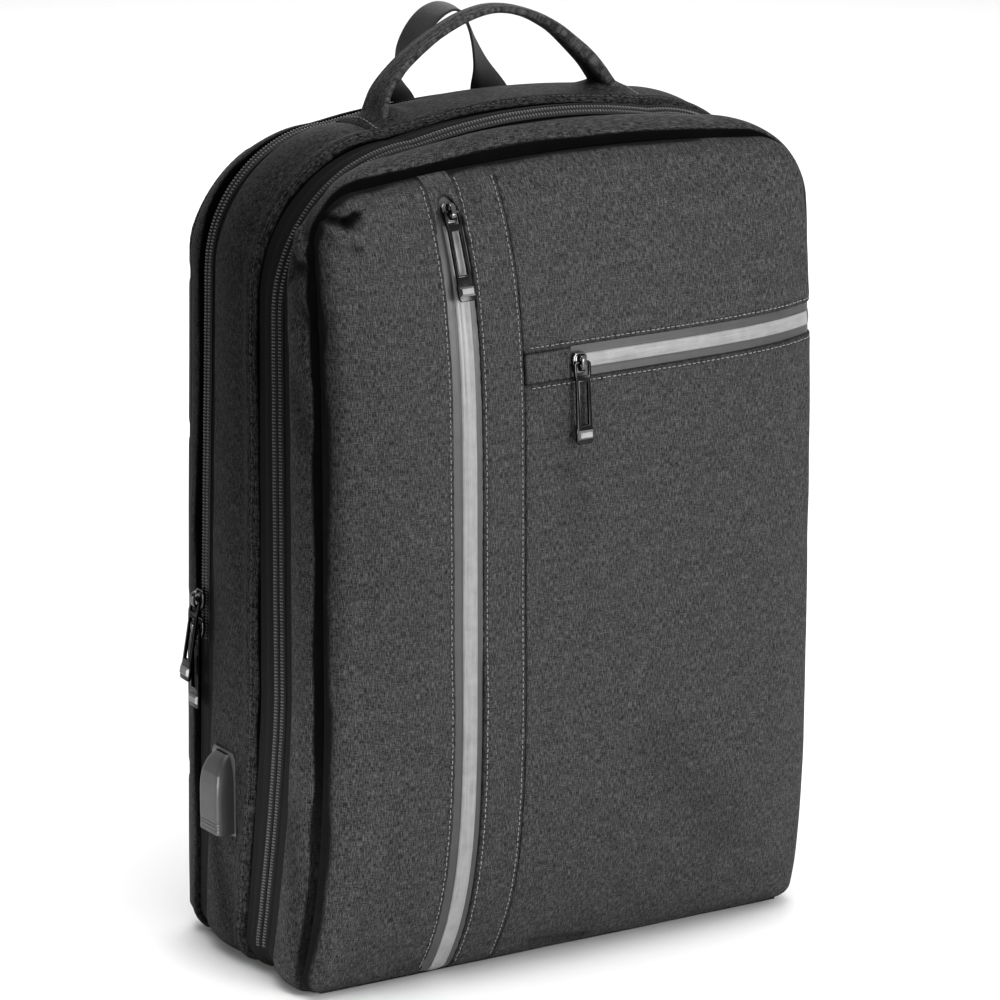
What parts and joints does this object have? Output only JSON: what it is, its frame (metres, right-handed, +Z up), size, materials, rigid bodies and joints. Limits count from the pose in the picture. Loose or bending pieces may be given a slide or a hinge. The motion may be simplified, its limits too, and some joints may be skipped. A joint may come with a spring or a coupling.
{
  "type": "laptop backpack",
  "caption": "Slim upright laptop backpack in coated melange cloth, with zipped front pockets, zips round the body, a carrying handle and a side charging port.",
  "frame": {"origin": "middle of the flat base panel's underside, where the bag stands", "axes": "+Z up, the front face looks along -Y, +X is the right side seen from the front"},
  "size_m": [0.329, 0.2113, 0.5072],
  "materials": {
    "melange": "matte woven",
    "melangeDark": "matte woven",
    "tape": "satin",
    "coated": "satin",
    "reflective": "satin",
    "webbing": "woven",
    "mesh": "woven mesh",
    "chain": "satin",
    "gunmetal": "glossy",
    "plastic": "satin",
    "steel": "bright"
  },
  "bodies": {
    "bag": {"front_panel_left": "melange", "front_panel_strip": "melange", "front_panel_upper": "melange", "front_panel_lower": "melange", "upright_zip_tape": "coated", "upright_zip_end_tab": "melange", "upright_zip_stripe": "reflective", "level_zip_end_tab": "melange", "level_zip_tape": "coated", "level_zip_stripe": "reflective", "front_gusset": "melangeDark", "main_zip_tape": "tape", "main_zip_chain": "chain", "middle_gusset": "melangeDark", "rear_zip_tape": "tape", "rear_zip_chain": "chain", "rear_band": "melangeDark", "base_panel": "melangeDark", "back_panel": "mesh", "handle_patch": "melangeDark", "handle": "melangeDark", "hang_loop": "webbing", "upright_zip_slider": "gunmetal", "level_zip_slider": "gunmetal", "rear_zip_upper_slider": "gunmetal", "rear_zip_lower_slider": "gunmetal", "main_zip_slider": "gunmetal", "port_hood": "plastic", "port_socket": "steel", "shoulder_strap_left": "mesh", "strap_webbing_left": "webbing", "strap_adjuster_left": "plastic", "strap_anchor_left": "melangeDark", "shoulder_strap_right": "mesh", "strap_webbing_right": "webbing", "strap_adjuster_right": "plastic", "strap_anchor_right": "melangeDark"},
    "upright_zip_puller_body": {"upright_zip_puller": "gunmetal"},
    "level_zip_puller_body": {"level_zip_puller": "gunmetal"},
    "rear_zip_upper_puller_body": {"rear_zip_upper_puller": "gunmetal"},
    "rear_zip_lower_puller_body": {"rear_zip_lower_puller": "gunmetal"}
  },
  "joints": [
    {"name": "upright_zip_puller_hinge", "type": "hinge", "parent": "bag", "child": "upright_zip_puller_body", "pos_m": [-0.07554, -0.06979, 0.42155], "axis": [-0.9999, 0.0126, 0], "range_deg": [0, 150]},
    {"name": "level_zip_puller_hinge", "type": "hinge", "parent": "bag", "child": "level_zip_puller_body", "pos_m": [-0.0115, -0.09143, 0.33729], "axis": [-1, 0, 0], "range_deg": [0, 150]},
    {"name": "rear_zip_upper_puller_hinge", "type": "hinge", "parent": "bag", "child": "rear_zip_upper_puller_body", "pos_m": [-0.15767, 0.05736, 0.1944], "axis": [0, 0.999, 0.0444], "range_deg": [0, 140]},
    {"name": "rear_zip_lower_puller_hinge", "type": "hinge", "parent": "bag", "child": "rear_zip_lower_puller_body", "pos_m": [-0.15767, 0.05807, 0.1784], "axis": [0, 0.999, 0.0444], "range_deg": [0, 4]}
  ]
}
